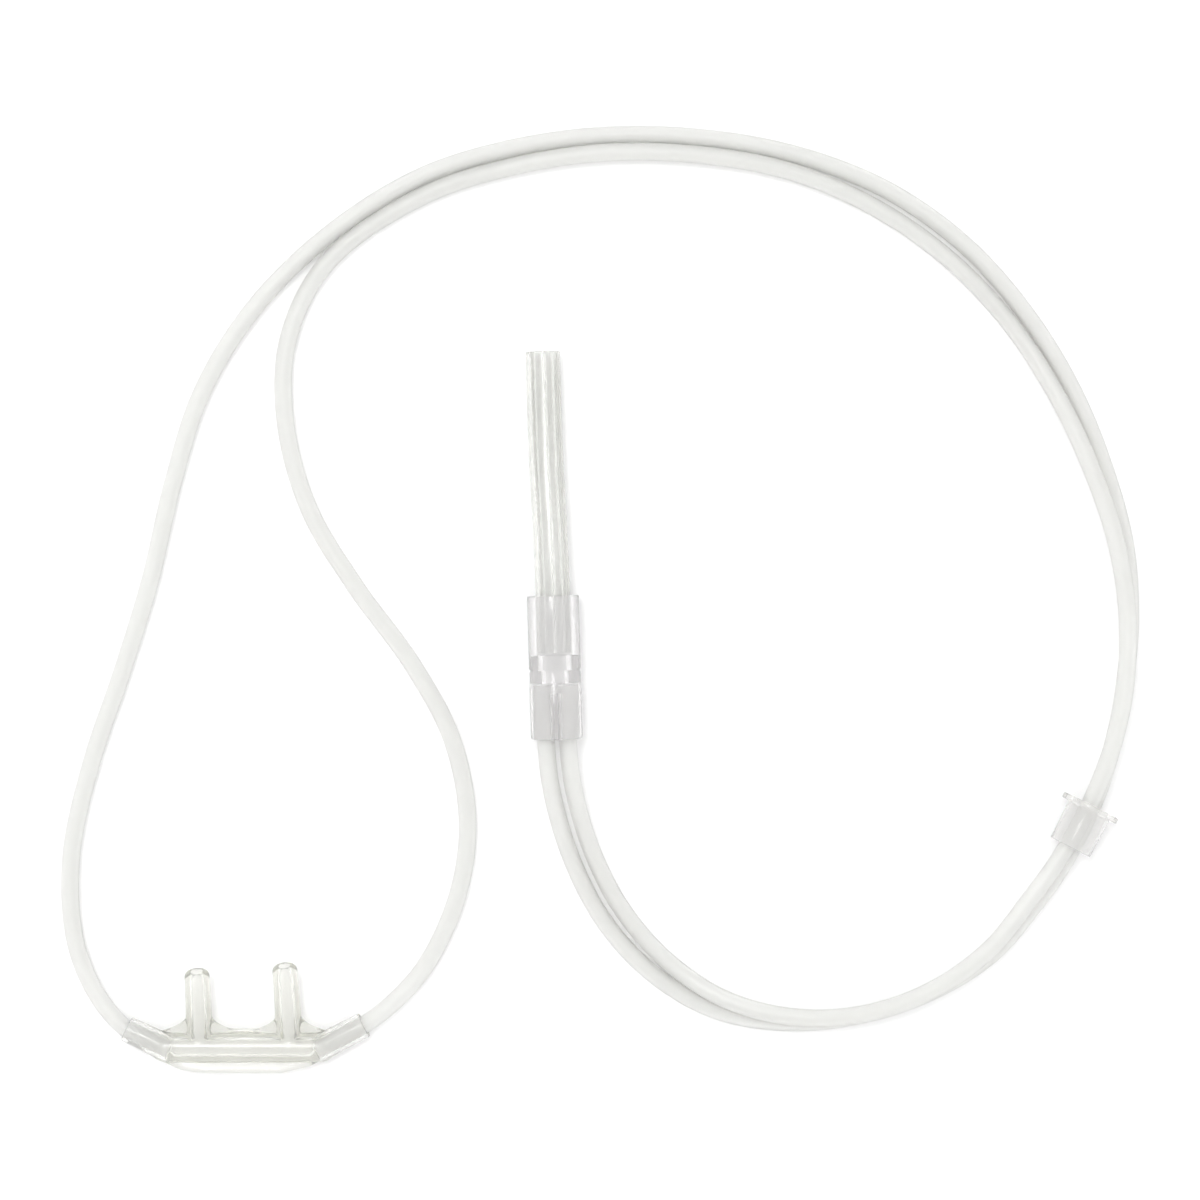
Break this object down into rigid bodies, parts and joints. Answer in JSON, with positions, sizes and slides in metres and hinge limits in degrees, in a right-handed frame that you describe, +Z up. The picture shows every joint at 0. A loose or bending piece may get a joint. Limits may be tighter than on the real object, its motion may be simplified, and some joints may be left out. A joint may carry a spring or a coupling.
{
  "type": "nasal oxygen cannula",
  "caption": "Nasal oxygen cannula: soft nasal piece with curved prongs, thin looped tubes through a flanged slider, a Y connector and a short ribbed supply tube.",
  "frame": {"origin": "on the flat underside of the nasal piece, midway between its prongs", "axes": "+X from the left sleeve to the right sleeve, +Y the way the prongs leave the manifold, +Z up from the floor that it lies on"},
  "size_m": [0.2031, 0.1782, 0.0113],
  "materials": {
    "soft_clear_moulding": "glossy, soft and clear with a faint yellow-green tint where it is thick",
    "clear_tubing": "smooth, slightly milky clear vinyl",
    "clear_slider": "glossy and clear",
    "clear_connector": "glossy, hard and clear",
    "clear_supply_tubing": "smooth clear vinyl with ribs inside"
  },
  "bodies": {
    "cannula": {"nasal_piece": "soft_clear_moulding", "left_lumen_tube": "clear_tubing", "right_lumen_tube": "clear_tubing", "y_connector": "clear_connector", "supply_tube": "clear_supply_tubing"},
    "slider": {"tube_slider": "clear_slider"}
  },
  "joints": [
    {"name": "slider_travel", "type": "hinge", "parent": "cannula", "child": "slider", "pos_m": [0.0842, 0.0792, 0.00565], "axis": [0, 0, 1], "range_deg": [-8, 8]}
  ]
}
